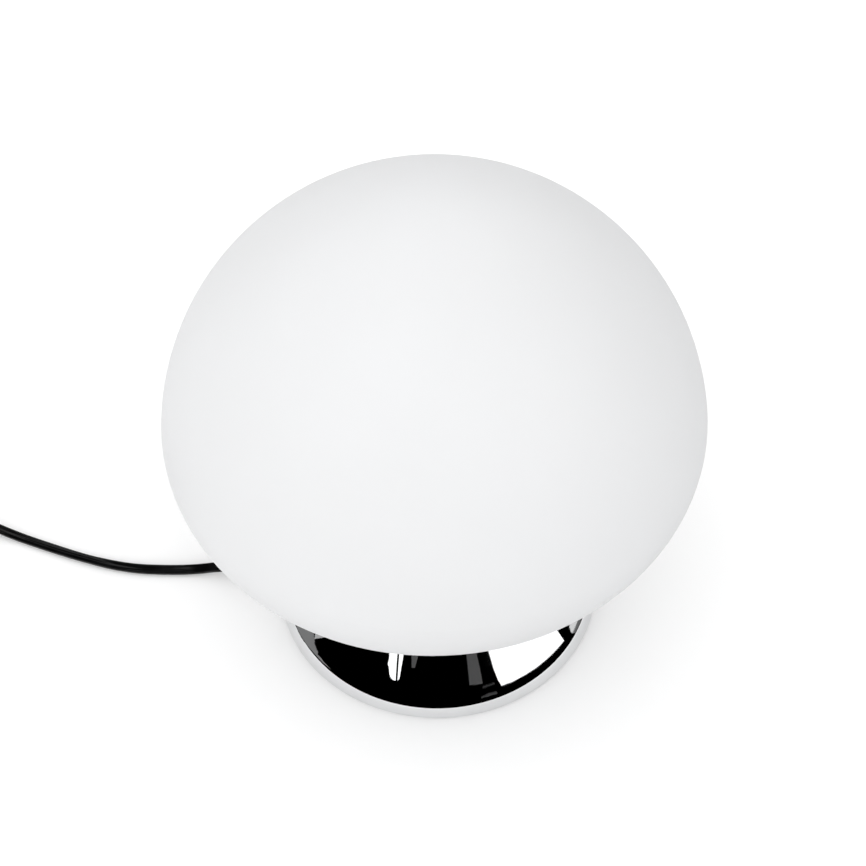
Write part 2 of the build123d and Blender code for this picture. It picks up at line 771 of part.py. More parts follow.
def switch_contacts():
    x, y, z = contact_size
    base = block((-x / 2, x / 2), (-y / 2, y / 2), (switch_wall, switch_wall + z))
    return [Pos(side * contact_offset, 0, 0) * base for side in (-1, 1)]


# ---- Plug, drawn along +X from the end of the cord

def at_plug(piece):
    return Pos(plug_mouth_x, plug_y, plug_z) * piece


def plug_body():
    back = plug_tail_length
    front = back + plug_length
    half, waist = plug_width / 2, plug_waist / 2
    outline = make_face(Polyline(
        (back, -waist), (front - plug_shoulder, -half), (front, -half),
        (front, half), (front - plug_shoulder, half), (back, waist), close=True,
    ))
    outline = fillet(outline.vertices(), plug_corner)
    body = Pos(0, 0, -plug_height / 2) * extrude(outline, plug_height)
    rims = body.edges().group_by(Axis.Z)
    body = fillet(rims[0] + rims[-1], plug_edge)
    tail = loft([
        Plane((x, 0, 0), x_dir=(0, 1, 0), z_dir=(1, 0, 0)) * SlotOverall(*size)
        for x, size in ((0, plug_tail_end), (back + plug_tail_lap, plug_tail_root))
    ])
    body += tail
    for side in (-1, 1):
        body -= Pos(front - pin_root / 2, side * pin_spacing / 2, 0) * Rot(0, 90, 0) * Cylinder(
            pin_core_radius + screw_fit, pin_root
        )
    return body


def pin_places(piece):
    front = plug_tail_length + plug_length
    return [Pos(front, side * pin_spacing / 2, 0) * Rot(0, 90, 0) * piece for side in (-1, 1)]


def plug_pin():
    core = rod(pin_core_radius, -pin_root, pin_sleeve_length)
    tip = rod(pin_radius, pin_sleeve_length, pin_length)
    return core + fillet(tip.edges().filter_by(GeomType.CIRCLE).sort_by(Axis.Z)[-1], pin_round)


def pin_sleeve():
    return tube(pin_core_radius + screw_fit, pin_radius - pin_sleeve_step, 0, pin_sleeve_length)


# ---- Write every node

os.makedirs("parts", exist_ok=True)

save("base_shell", base_shell())
save("base_ballast", base_ballast())
save("base_cover", base_cover())
save("base_pad", base_pad())
save("cover_screws", *around(cover_screw_count, cover_screw_circle,
                             screw(cover_screw_radius, cover_screw_length, cover_z, up=False)))
save("stem", stem())
save("stem_washers", washer(recess_z - washer_wall), washer(gallery_floor_z))
save("stem_nuts", nut(lower_nut_z), nut(gallery_floor_z + washer_wall))
save("gallery", gallery())
save("globe_gasket", globe_gasket())
save("glass_globe", glass_globe())

save("holder_cap", holder_cap())
save("holder_skirt", holder_skirt())
save("holder_insert", holder_insert())
save("holder_screw_shell", holder_screw_shell())
save("holder_centre_contact", holder_centre_contact())
save("holder_terminals", *terminal_places(holder_terminal()))
save("terminal_screws", *terminal_places(screw(terminal_screw_radius, terminal_screw_length, insert_top)))

save("bulb_contact", bulb_contact())
save("bulb_insulator", bulb_insulator())
save("bulb_cap", bulb_cap())
save("bulb_housing", bulb_housing())
save("bulb_diffuser", bulb_diffuser())

save("cord_relief", cord_relief())
save("cord_clamp_base", cord_clamp_base())
save("cord_clamp_saddle", cord_clamp_saddle())
save("clamp_screws", *clamp_places(screw(clamp_screw_radius, clamp_screw_length, cover_top + clamp_height)))
save("cord_inner", oval_bar((cord_width, cord_thickness), inner_cord_end, relief_tip))
save("inner_wires", *inner_wires())

save("cord_lead", cord_tube("cord_lead", lead_points))
save("cord_run", cord_tube("cord_run", run_points))
save("cord_coil", cord_coil())
save("cord_tail", cord_tube("cord_tail", tail_points))

save("switch_lower", at_switch(switch_lower()))
save("switch_upper", at_switch(switch_upper()))
save("switch_rocker", at_switch(switch_rocker()))
save("switch_contacts", *(at_switch(piece) for piece in switch_contacts()))
switch_screw = screw(switch_screw_radius, switch_screw_length, switch_screw_seat, up=False)
save("switch_screws", *(at_switch(Pos(side * switch_screw_offset[0], side * switch_screw_offset[1], 0)
                                  * switch_screw) for side in (-1, 1)))

save("plug_body", at_plug(plug_body()))
save("plug_pins", *(at_plug(piece) for piece in pin_places(plug_pin())))
save("pin_sleeves", *(at_plug(piece) for piece in pin_places(pin_sleeve())))
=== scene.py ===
from math import atan2, cos, pi, radians, sin, sqrt, tau

import bmesh
import bpy
from mathutils import Matrix, Vector
from mathutils.interpolate import poly_3d_calc


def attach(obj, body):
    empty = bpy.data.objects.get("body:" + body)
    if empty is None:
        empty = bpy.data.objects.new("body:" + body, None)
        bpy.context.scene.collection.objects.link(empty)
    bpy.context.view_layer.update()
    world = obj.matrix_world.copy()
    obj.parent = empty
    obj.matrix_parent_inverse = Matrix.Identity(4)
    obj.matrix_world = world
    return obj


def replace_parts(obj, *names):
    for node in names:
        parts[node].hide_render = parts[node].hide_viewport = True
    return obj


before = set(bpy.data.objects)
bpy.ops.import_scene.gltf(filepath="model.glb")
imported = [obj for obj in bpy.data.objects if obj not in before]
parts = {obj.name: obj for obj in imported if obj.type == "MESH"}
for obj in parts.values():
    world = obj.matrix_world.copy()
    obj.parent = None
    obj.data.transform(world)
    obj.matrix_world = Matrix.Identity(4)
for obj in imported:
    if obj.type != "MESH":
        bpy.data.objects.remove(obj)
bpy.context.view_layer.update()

scene = bpy.context.scene

# ---- Base shell
# A shallow dome spun from sheet steel on a lathe, its edge rolled down to the table, then polished and
# chromed. The plating is close to a mirror; the polishing wheel leaves faint rings round the axis.

class Tone:
    """A socket in a finish. Its arithmetic adds Math nodes, and node() adds any other kind."""

    def __init__(self, socket):
        self.socket, self.tree = socket, socket.id_data

    def node(self, kind, settings=None, sockets=None, out=0):
        made = self.tree.nodes.new("ShaderNode" + kind)
        for name, value in (settings or {}).items():
            setattr(made, name, value)
        for key, value in (sockets or {}).items():
            if isinstance(value, Tone):
                self.tree.links.new(value.socket, made.inputs[key])
            else:
                made.inputs[key].default_value = value
        return Tone(made.outputs[out])

    def maths(self, operation, *others):
        """A Math node that takes this as its first value."""
        return self.node("Math", {"operation": operation}, dict(enumerate((self, *others))))

    def __add__(self, other):
        return self.maths("ADD", other)

    def __sub__(self, other):
        return self.maths("SUBTRACT", other)

    def __rsub__(self, other):
        return self.node("Math", {"operation": "SUBTRACT"}, {0: other, 1: self})

    def __mul__(self, other):
        return self.maths("MULTIPLY", other)

    def __truediv__(self, other):
        return self.maths("DIVIDE", other)

    def __pow__(self, other):
        return self.maths("POWER", other)

    __radd__, __rmul__ = __add__, __mul__

    def axis(self, letter):
        return self.node("SeparateXYZ", {}, {0: self}, "XYZ".index(letter))

    def radius(self):
        return (self.axis("X") ** 2 + self.axis("Y") ** 2) ** 0.5

    def noise(self, scale, detail=2.0, roughness=0.5, stretch=(1, 1, 1)):
        """Noise from 0 to 1, its grain stretched by the given factors before it is scaled."""
        place = self.node("Mapping", {}, {"Vector": self, "Scale": stretch})
        return self.node("TexNoise", {}, {"Vector": place, "Scale": scale, "Detail": detail,
                                          "Roughness": roughness})

    def between(self, low, high, start=0.0, end=1.0):
        """A value eased from start to end while this goes from low to high."""
        return self.node("MapRange", {"interpolation_type": "SMOOTHSTEP"},
                         {0: self, 1: low, 2: high, 3: start, 4: end})

    def blend(self, first, second):
        """The first colour where this is 0, the second where it is 1."""
        ends = [c if isinstance(c, Tone) else (*c, 1) for c in (first, second)]
        return self.node("Mix", {"data_type": "RGBA"}, {0: self, 6: ends[0], 7: ends[1]}, 2)

    def to(self, socket):
        self.tree.links.new(self.socket, self.tree.nodes["Principled BSDF"].inputs[socket])

    def relief(self, depth, strength=1.0):
        """Bump of this height, in metres where it is 1."""
        self.node("Bump", {}, {"Strength": strength, "Distance": depth, "Height": self}).to("Normal")


def finish(name, colour, roughness, **more):
    """A new material with these plain values, and the place on the piece that its pattern reads."""
    material = bpy.data.materials.new(name)
    material.use_nodes = True
    tree = material.node_tree
    values = {"Base Color": (*colour, 1), "Roughness": roughness}
    for key, value in more.items():
        values[key.replace("_", " ").title().replace("Ior", "IOR")] = value
    for socket, value in values.items():
        tree.nodes["Principled BSDF"].inputs[socket].default_value = value
    return material, Tone(tree.nodes.new("ShaderNodeTexCoord").outputs["Object"])


def dress(node, material):
    """Gives a solid of the frame its finish."""
    parts[node].data.materials.clear()
    parts[node].data.materials.append(material)


def chrome(name, ring_scale):
    """Chrome over a spun piece; a higher ring scale sets its polishing rings closer together."""
    material, place = finish(name, (0.75, 0.755, 0.76), 0.03, metallic=1.0)
    rings = place.node("CombineXYZ", {}, {0: place.radius(), 1: 0.0, 2: place.axis("Z") * 0.3})
    polish = rings.noise(ring_scale, 3.0, 0.6)
    haze = place.noise(28.0, 3.0, 0.55)
    (polish.between(0.35, 0.8, 0.012, 0.034) + haze.between(0.45, 0.8, 0.0, 0.03)).to("Roughness")
    haze.between(0.4, 0.75).blend((0.765, 0.77, 0.776), (0.72, 0.724, 0.73)).to("Base Color")
    (polish * 0.4 + place.noise(9.0, 1.0)).relief(0.00003, 0.35)
    return material


dress("base_shell", chrome("spun_chrome", 900.0))

# ---- Ballast
# A grey iron casting that fills the dome and keeps the lamp upright. Sand cast and dipped in black paint,
# with a conical boss that the dome's flat is clamped on.

material, place = finish("cast_iron", (0.05, 0.05, 0.052), 0.75)
sand = place.noise(900.0, 4.0, 0.7)
pits = place.noise(140.0, 3.0, 0.6)
sand.between(0.35, 0.7).blend((0.035, 0.035, 0.037), (0.085, 0.083, 0.08)).to("Base Color")
pits.between(0.4, 0.7, 0.62, 0.85).to("Roughness")
(sand * 0.4 + pits).relief(0.0006, 0.8)
dress("base_ballast", material)

# ---- Closing plate
# A disc blanked from zinc-plated sheet steel that shuts the base from below. It shows the rolling
# direction of the sheet and the large, dim crystals of the plating.

def zinc(name, stretch):
    """Zinc plating over sheet steel, whose rolled grain is drawn out by the stretch."""
    material, place = finish(name, (0.52, 0.53, 0.54), 0.38, metallic=1.0)
    rolled = place.noise(60.0, 5.0, 0.65, stretch)
    crystals = place.node("TexVoronoi", {"feature": "F1"}, {"Vector": place, "Scale": 170.0}, "Color")
    spangle = crystals.node("SeparateColor", {}, {0: crystals})
    stain = place.noise(22.0, 4.0, 0.6)
    spangle.between(0.1, 0.9).blend((0.47, 0.48, 0.50), (0.60, 0.61, 0.62)).to("Base Color")
    (rolled * 0.16 + spangle * 0.08 + stain * 0.12 + 0.18).to("Roughness")
    (rolled * 0.6 + spangle * 0.4).relief(0.00008, 0.5)
    return material


dress("base_cover", zinc("rolled_zinc", (1, 22, 1)))

# ---- Pad
# A ring of black closed-cell foam with its own adhesive, die cut and stuck round the closing plate, so
# that the lamp neither slips nor scratches the table.

material, place = finish("foam", (0.022, 0.022, 0.023), 0.92)
cells = place.node("TexVoronoi", {"feature": "SMOOTH_F1"},
                   {"Vector": place, "Scale": 1500.0, "Smoothness": 0.6})
fuzz = place.noise(260.0, 4.0, 0.7)
# the cells' sunk edges are painted darker than their raised middles: painted shade between the cells
cells.between(0.1, 0.7).blend((0.034, 0.034, 0.035), (0.012, 0.012, 0.012)).to("Base Color")
fuzz.between(0.3, 0.8, 0.84, 0.98).to("Roughness")
((1 - cells) * 0.6 + fuzz * 0.5).relief(0.0003, 0.9)
dress("base_pad", material)

# ---- Screws
# Cold-headed steel screws with a cross recess and zinc plating. The driver has burnished the recess, and
# each one stops at its own angle.

def solid(name, material, body=None, corners=(), faces=(), smooth=30):
    """A piece from its corners and faces. Edges that turn by more than smooth, in degrees, stay sharp."""
    mesh = bpy.data.meshes.new(name)
    mesh.from_pydata(corners, [], faces)
    made = bpy.data.objects.new(name, mesh)
    scene.collection.objects.link(made)
    settle(made, material, smooth)
    if body:
        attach(made, body)
    return made


def settle(made, material, smooth=30):
    """Merges doubles, turns the faces out, sets the smooth edges and the finish."""
    shape = bmesh.new()
    shape.from_mesh(made.data)
    bmesh.ops.remove_doubles(shape, verts=shape.verts, dist=0.000002)
    bmesh.ops.recalc_face_normals(shape, faces=shape.faces)
    shape.to_mesh(made.data)
    shape.free()
    made.data.shade_smooth()
    made.data.set_sharp_from_angle(angle=radians(smooth))
    made.data.materials.clear()
    made.data.materials.append(material)


def turned_form(outline, steps=64):
    """Corners and faces of (radius, height) points turned about the axis; a radius of 0 is a pole."""
    corners, faces, rows = [], [], []
    for r, z in outline:
        count = 1 if r == 0 else steps
        rows.append(range(len(corners), len(corners) + count))
        corners += [(r * cos(tau * i / steps), r * sin(tau * i / steps), z) for i in range(count)]
    for low, high in zip(rows, rows[1:]):
        for i in range(steps):
            j = (i + 1) % steps
            quad = [low[i % len(low)], low[j % len(low)], high[j % len(high)], high[i % len(high)]]
            quad = [v for k, v in enumerate(quad) if v not in quad[:k]]
            if len(quad) > 2:
                faces.append(quad)
    return corners, faces


screw_head = 0.0017
steel, place = finish("plated_screw", (0.56, 0.55, 0.52), 0.3, metallic=1.0)
wear = place.noise(900.0, 3.0, 0.6)
patch = place.noise(180.0, 3.0, 0.5)
patch.between(0.35, 0.7).blend((0.60, 0.58, 0.53), (0.44, 0.44, 0.44)).to("Base Color")
(wear * 0.2 + patch * 0.15 + 0.14).to("Roughness")
wear.relief(0.00004, 0.5)


def one_screw(radius, length):
    """One screw, its head above z = 0, with a tapered cross recess."""
    head, tip, sides = radius * 1.9, radius * 0.5, 48
    outline = [(0, -length), (radius * 0.6, -length), (radius, tip - length)]
    # the thread's crests lie at the full radius and its roots at 0.86 of it
    turns = max(4, int((length - radius) / (radius * 0.42)))
    for i in range(turns):
        z = tip - length + (length - tip) * i / turns
        outline += [(radius, z), (radius * 0.86, z + (length - radius) / turns * 0.5)]
    # the head's rounded edge, in shares of its radius and its height
    edge = [(0.97, 0), (1, 0.25), (1, 0.55), (0.985, 0.72), (0.93, 0.87), (0.84, 0.96), (0.7, 1)]
    outline += [(radius, 0)] + [(head * out, screw_head * up) for out, up in edge]
    corners, faces = turned_form(outline, sides)
    rim = len(corners) - sides
    arm, half = head * 0.52, head * 0.13
    cross = [(arm, -half), (arm, half), (half, half), (half, arm), (-half, arm), (-half, half), (-arm, half),
             (-arm, -half), (-half, -half), (-half, -arm), (half, -arm), (half, -half)]
    mouth, floor, count = len(corners), len(corners) + len(cross), len(cross)
    corners += [(x, y, screw_head) for x, y in cross]
    corners += [(x * 0.72, y * 0.8, screw_head * 0.3) for x, y in cross]
    around = [(i, (i + 1) % count) for i in range(count)]
    faces += [(mouth + i, mouth + j, floor + j, floor + i) for i, j in around]
    faces.append(range(floor, floor + count))
    # the head's flat top, from each side of the cross out to the part of the rim beside it
    near = [round(atan2(y, x) / tau * sides) % sides for x, y in cross]
    for i, j in around:
        span = (near[j] - near[i]) % sides
        faces.append([mouth + i, mouth + j] + [rim + (near[i] + k) % sides for k in range(span, -1, -1)])
    return corners, faces


def plain(made):
    """Turns what the object's modifiers make into its own mesh."""
    bpy.context.view_layer.update()
    seen = made.evaluated_get(bpy.context.evaluated_depsgraph_get())
    made.data = bpy.data.meshes.new_from_object(seen)
    made.modifiers.clear()


def set_in_places(name, body, places, one, material, heads_up=True, spin=tau, taper=0.0, seed=1, smooth=30):
    """Geometry nodes that put one form at every place. Each is turned by its own seeded angle up to spin
    and is smaller than the one before by the share taper."""
    sample = solid(name + "_one", material, corners=one[0], faces=one[1], smooth=smooth)
    made = solid(name, material, corners=places)
    tree = bpy.data.node_groups.new(name, "GeometryNodeTree")
    kinds = {"Places": "Geometry", "One": "Object", "Seed": "Int", "Tilt": "Float", "Spin": "Float",
             "Taper": "Float"}
    given = {}
    for label, kind in kinds.items():
        given[label] = tree.interface.new_socket(label, in_out="INPUT", socket_type="NodeSocket" + kind)
    tree.interface.new_socket("Geometry", in_out="OUTPUT", socket_type="NodeSocketGeometry")
    add, link = tree.nodes.new, tree.links.new
    source, end = add("NodeGroupInput").outputs, add("NodeGroupOutput").inputs
    info, points = add("GeometryNodeObjectInfo"), add("GeometryNodeInstanceOnPoints")
    angle, turn = add("FunctionNodeRandomValue"), add("ShaderNodeCombineXYZ")
    size = 1 - Tone(add("GeometryNodeInputIndex").outputs[0]) * Tone(source["Taper"])
    real, paint = add("GeometryNodeRealizeInstances"), add("GeometryNodeSetMaterial")
    paint.inputs["Material"].default_value = material
    for a, b in ((source["One"], info.inputs["Object"]), (source["Places"], points.inputs[0]),
                 (info.outputs["Geometry"], points.inputs["Instance"]),
                 (source["Seed"], angle.inputs["Seed"]), (source["Spin"], angle.inputs[3]),
                 (angle.outputs[1], turn.inputs["Z"]),
                 (source["Tilt"], turn.inputs["X"]), (turn.outputs[0], points.inputs["Rotation"]),
                 (size.socket, points.inputs["Scale"]), (points.outputs[0], real.inputs[0]),
                 (real.outputs[0], paint.inputs[0]), (paint.outputs[0], end[0])):
        link(a, b)
    grow = made.modifiers.new("places", "NODES")
    grow.node_group = tree
    values = {"One": sample, "Seed": seed, "Tilt": 0.0 if heads_up else pi, "Spin": spin, "Taper": taper}
    for label, value in values.items():
        grow[given[label].identifier] = value
    plain(made)
    bpy.data.objects.remove(sample)
    settle(made, material, smooth)
    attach(made, body)
    return made


def ring_of(count, circle, z):
    """Places evenly round the axis, on a circle of this radius at this height."""
    return [(circle * cos(tau * i / count), circle * sin(tau * i / count), z) for i in range(count)]


closing_places = ring_of(count=3, circle=0.068, z=0.0025)
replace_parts(set_in_places("closing_screws", "lamp", closing_places, one_screw(radius=0.002, length=0.009),
                          steel, heads_up=False, seed=3), "cover_screws")

# ---- Stem, washers and nuts
# An M10 threaded tube of zinc-plated steel runs from inside the ballast up to the lampholder. A washer
# and a hexagon nut at each end of the stack pull shell, ballast and gallery together.

material, place = finish("threaded_steel", (0.55, 0.54, 0.50), 0.32, metallic=1.0)
stem_pitch = 0.001
turn = place.axis("Y").maths("ARCTAN2", place.axis("X"))
thread = (place.axis("Z") * (tau / stem_pitch) - turn).maths("SINE")
grime = place.noise(300.0, 3.0, 0.6)
# the colour follows the thread's relief: its roots are painted darker and its crests lighter, painted shade
# and painted highlight
(thread * 0.5 + 0.5).blend((0.36, 0.35, 0.32), (0.64, 0.63, 0.59)).to("Base Color")
grime.between(0.3, 0.7, 0.24, 0.42).to("Roughness")
thread.relief(0.0003, 1.0)
dress("stem", material)
dress("stem_washers", zinc("washer_zinc", (6, 1, 1)))
dress("stem_nuts", zinc("nut_zinc", (1, 1, 9)))

# ---- Gallery
# The cup that holds the glass: spun brass, chromed like the base, with a rounded lip. It stands on the
# dome's flat, and its skirt follows the dome.

dress("gallery", chrome("gallery_chrome", 700.0))

# ---- Gasket
# A moulded ring of milky silicone in the gallery. Its foot carries the end of the glass's neck and its
# collar keeps the neck off the metal.

material, place = finish("silicone", (0.72, 0.72, 0.70), 0.42, subsurface_weight=0.35, subsurface_scale=0.003,
                         subsurface_radius=(1.0, 1.0, 1.0))
dust = place.noise(420.0, 4.0, 0.65)
dust.between(0.35, 0.75).blend((0.76, 0.76, 0.74), (0.64, 0.64, 0.61)).to("Base Color")
dust.between(0.3, 0.8, 0.34, 0.55).to("Roughness")
place.noise(1200.0, 2.0).relief(0.00005, 0.6)
dress("globe_gasket", material)

# ---- Glass globe
# Blown opal glass: clear glass cased over a milk-white core, acid-etched to a satin skin. It was blown
# into a turned mould, which leaves it a little uneven, and its neck is cut and ground flat.

material, place = finish("satin_opal", (0.80, 0.805, 0.815), 0.52, ior=1.5, specular_ior_level=0.3,
                         subsurface_weight=0.25, subsurface_scale=0.012, subsurface_radius=(1.0, 1.0, 1.0))
breath = place.noise(9.0, 2.0, 0.5)
etch = place.noise(1600.0, 3.0, 0.7)
breath.between(0.3, 0.7).blend((0.806, 0.812, 0.822), (0.79, 0.795, 0.803)).to("Base Color")
(etch * 0.10 + breath * 0.08 + 0.43).to("Roughness")
(breath * 0.9 + place.noise(26.0, 1.0) * 0.12 + etch * 0.006).relief(0.0009, 0.5)
dress("glass_globe", material)

# ---- Lampholder
# A white moulded holder for a 27 mm screw cap: a cap that screws on the stem and a fluted skirt, with a
# glazed porcelain insert that carries the brass terminals and the sprung contact.

def moulded(name, colour, shade, roughness, grain=0.00003):
    """A moulded or glazed skin: its colour drifts to a shade, and its texture is as deep as the grain."""
    material, place = finish(name, colour, roughness)
    flow = place.noise(70.0, 4.0, 0.6)
    spark = place.noise(2600.0, 2.0, 0.6)
    flow.between(0.3, 0.75).blend(colour, shade).to("Base Color")
    (flow * 0.10 + spark * 0.12 + (roughness - 0.11)).to("Roughness")
    (spark * 0.5 + flow * 0.3).relief(grain, 0.6)
    return material


holder_white = moulded("holder_white", (0.78, 0.775, 0.75), (0.70, 0.69, 0.66), 0.38)
dress("holder_cap", holder_white)
dress("holder_skirt", holder_white)
dress("holder_insert", moulded("porcelain", (0.80, 0.80, 0.78), (0.72, 0.72, 0.69), 0.2))

brass, place = finish("brass", (0.78, 0.58, 0.28), 0.3, metallic=1.0)
tarnish = place.noise(160.0, 4.0, 0.6)
scratch = place.noise(500.0, 3.0, 0.6, (1, 8, 1))
tarnish.between(0.4, 0.75).blend((0.80, 0.60, 0.30), (0.52, 0.36, 0.17)).to("Base Color")
(scratch * 0.22 + tarnish * 0.15 + 0.12).to("Roughness")
scratch.relief(0.00004, 0.5)
dress("holder_terminals", brass)
dress("holder_centre_contact", brass)

# ---- Terminal screws
# Two short screws with the same plating, one in each terminal. They are driven from above, through the
# empty screw shell, and each clamps the end of one wire.

terminal_places = [(0, side * 0.0086, 0.088239) for side in (-1, 1)]
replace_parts(set_in_places("wire_screws", "lamp", terminal_places, one_screw(radius=0.0014, length=0.005),
                          steel, seed=8), "terminal_screws")

# ---- Threads
# The 27 mm round thread, 3.63 mm to a turn, is rolled into thin sheet: plated brass for the holder's
# shell and for the bulb's cap, so that one runs in the other as the bulb turns.

pitch, thread_depth, sheet = 0.0036286, 0.0004, 0.0004


def rolled_thread(name, node, body, radius, bottom, top, lead_in, material):
    """Geometry nodes that wrap a grid round the axis and press a rounded helix into it."""
    made = solid(name, material)
    tree = bpy.data.node_groups.new(name, "GeometryNodeTree")
    sizes = {"Radius": radius, "Depth": thread_depth, "Pitch": pitch, "Bottom": bottom, "Top": top,
             "Lead": lead_in}
    given = {}
    for label in sizes:
        given[label] = tree.interface.new_socket(label, in_out="INPUT", socket_type="NodeSocketFloat")
    tree.interface.new_socket("Geometry", in_out="OUTPUT", socket_type="NodeSocketGeometry")
    add, link = tree.nodes.new, tree.links.new
    source, end = add("NodeGroupInput").outputs, add("NodeGroupOutput").inputs
    grid = add("GeometryNodeMeshGrid")
    for label, value in (("Size X", 1), ("Size Y", 1), ("Vertices X", 97), ("Vertices Y", 61)):
        grid.inputs[label].default_value = value
    middle, depth, rise, low, high, lead = (Tone(source[label]) for label in sizes)
    place = Tone(add("GeometryNodeInputPosition").outputs[0])
    angle = (place.axis("X") + 0.5) * tau
    z = low + (place.axis("Y") + 0.5) * (high - low)
    fade = ((z - low).maths("MINIMUM", high - z) / lead).maths("MINIMUM", 1.0)
    r = middle + (z / rise * tau - angle).maths("COSINE") * depth * fade
    spot = place.node("CombineXYZ", {}, {0: r * angle.maths("COSINE"), 1: r * angle.maths("SINE"), 2: z})
    move, merge = add("GeometryNodeSetPosition"), add("GeometryNodeMergeByDistance")
    merge.inputs["Distance"].default_value = 0.00001
    real, paint = add("GeometryNodeRealizeInstances"), add("GeometryNodeSetMaterial")
    paint.inputs["Material"].default_value = material
    for a, b in ((grid.outputs["Mesh"], move.inputs["Geometry"]), (spot.socket, move.inputs["Position"]),
                 (move.outputs[0], merge.inputs[0]), (merge.outputs[0], real.inputs[0]),
                 (real.outputs[0], paint.inputs[0]), (paint.outputs[0], end[0])):
        link(a, b)
    press = made.modifiers.new("thread", "NODES")
    press.node_group = tree
    for label, value in sizes.items():
        press[given[label].identifier] = value
    plain(made)
    settle(made, material, 60)
    thick = made.modifiers.new("wall", "SOLIDIFY")
    thick.thickness, thick.offset = sheet, -1
    plain(made)
    made.data.shade_smooth()
    made.data.set_sharp_from_angle(angle=radians(60))
    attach(made, body)
    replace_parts(made, node)


nickel, place = finish("nickelled_brass", (0.68, 0.66, 0.60), 0.28, metallic=1.0)
rub = place.noise(240.0, 4.0, 0.6)
rings = place.noise(180.0, 3.0, 0.6, (1, 1, 7))
rub.between(0.35, 0.7).blend((0.71, 0.69, 0.64), (0.56, 0.53, 0.46)).to("Base Color")
(rings * 0.2 + rub * 0.12 + 0.12).to("Roughness")
rings.relief(0.00003, 0.4)
rolled_thread("threaded_shell", "holder_screw_shell", "lamp", radius=0.01345, bottom=0.088239,
              top=0.106739, lead_in=0.0015, material=nickel)
rolled_thread("threaded_cap", "bulb_cap", "bulb", radius=0.01260, bottom=0.096339,
              top=0.118339, lead_in=0.002, material=nickel)

# ---- Bulb
# An LED bulb: a white moulded housing that widens from its cap to a milky polycarbonate diffuser. Black
# glass insulates the cap from the solder-tipped contact.

dress("bulb_contact", brass)
dress("bulb_insulator", moulded("black_glass", (0.02, 0.02, 0.022), (0.035, 0.03, 0.03), 0.16))
dress("bulb_housing", moulded("bulb_white", (0.82, 0.82, 0.81), (0.76, 0.76, 0.75), 0.33))
material, place = finish("bulb_opal", (0.85, 0.85, 0.84), 0.36, subsurface_weight=0.4, subsurface_scale=0.006,
                         subsurface_radius=(1.0, 1.0, 0.9))
milk = place.noise(55.0, 3.0, 0.5)
milk.between(0.3, 0.7).blend((0.87, 0.87, 0.86), (0.83, 0.83, 0.815)).to("Base Color")
(milk * 0.1 + 0.3).to("Roughness")
place.noise(1500.0, 2.0).relief(0.00003, 0.6)
dress("bulb_diffuser", material)

# ---- Cord clamp and inner cord
# Inside the base a two-part nylon clamp takes the pull of the cord. The cord is stripped behind it, and
# its two cores run up the stem to the terminals.

nylon = moulded("clamp_nylon", (0.045, 0.045, 0.047), (0.03, 0.03, 0.031), 0.5, 0.00006)
dress("cord_clamp_base", nylon)
dress("cord_clamp_saddle", nylon)
saddle_places = [(-0.062, side * 0.008, 0.0115) for side in (-1, 1)]
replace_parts(set_in_places("saddle_screws", "lamp", saddle_places, one_screw(radius=0.0015, length=0.0092),
                          steel, seed=5), "clamp_screws")
material, place = finish("core_insulation", (0.03, 0.09, 0.34), 0.4)
chalk = place.noise(300.0, 3.0, 0.6)
pair = place.axis("Y").between(-0.0002, 0.0002).blend((0.02, 0.075, 0.32), (0.13, 0.045, 0.02))
chalk.between(0.45, 0.8, 0.0, 0.22).blend(pair, (0.25, 0.25, 0.25)).to("Base Color")
chalk.between(0.3, 0.8, 0.34, 0.55).to("Roughness")
chalk.relief(0.00005, 0.5)
dress("inner_wires", material)

# ---- Free cord
# Flat two-core flex, 6 mm by 3.5 mm, with a black PVC jacket drawn over both cores, so that each shows as
# a long ridge. It lies slightly twisted on the table, and what is left over is wound in a tied coil.

cord_black, place = finish("cord_jacket", (0.002, 0.002, 0.0021), 0.22, specular_ior_level=0.3)
along = Tone(place.tree.nodes.new("ShaderNodeUVMap").outputs["UV"])
drawn = along.noise(40.0, 3.0, 0.6, (14, 0.5, 1))
rubbed = place.noise(90.0, 4.0, 0.6)
rubbed.between(0.4, 0.75).blend((0.0015, 0.0015, 0.0016), (0.0045, 0.0045, 0.0048)).to("Base Color")
(drawn * 0.10 + rubbed * 0.10 + 0.11).to("Roughness")
(drawn * 0.7 + rubbed * 0.3).relief(0.00005, 0.6)

cord_width, cord_thickness = 0.0060, 0.0035
coil_middle = (-0.3880, -0.0135)
bush_z, lying_z = 0.0076, 0.0023
switch_x, switch_y, switch_z = -0.3230, 0.0280, 0.0085
plug_y, plug_z = -0.0550, 0.00685


def coil_points():
    """Six and a half turns on edge: a lower layer inward, then an upper layer back out over it."""
    points, per_turn, turns = [], 16, 6.5
    outer, depth, waver, low, lift = 0.0415, 0.0111, 0.00012, 0.0033, 0.0062
    spread = 1.0194  # makes up for the spline, which runs a little inside its points
    for i in range(1, int(per_turn * turns)):
        turned = i / per_turn
        inward = min(turned, turns - turned) / (turns / 2)
        r = (outer - depth * inward + waver * sin(turned * 4.1)) * spread
        rise = min(1.0, max(0.0, (turned - turns / 2 + 0.25) / 0.5))
        z = low + lift * rise * rise * (3 - 2 * rise)
        angle = pi / 2 + tau * turned
        points.append((coil_middle[0] + r * cos(angle), coil_middle[1] + r * sin(angle), z))
    return points


# from the bush over the table to the switch, through it, round the coil and into the plug
route = [
    (-0.1180, 0.0, bush_z), (-0.1290, 0.0, bush_z), (-0.1430, 0.0008, 0.0029), (-0.1600, 0.0001, lying_z),
    (-0.1840, 0.0006, lying_z), (-0.2100, 0.0064, lying_z), (-0.2380, 0.0156, lying_z),
    (-0.2590, 0.0230, 0.0026), (-0.2770, switch_y, switch_z), (-0.2940, switch_y, switch_z),
    (-0.3520, switch_y, switch_z), (-0.3640, switch_y, switch_z), (-0.3780, switch_y, 0.0036),
    *coil_points(),
    (-0.3770, plug_y, 0.0094), (-0.3655, plug_y, plug_z), (-0.3550, plug_y, plug_z),
]
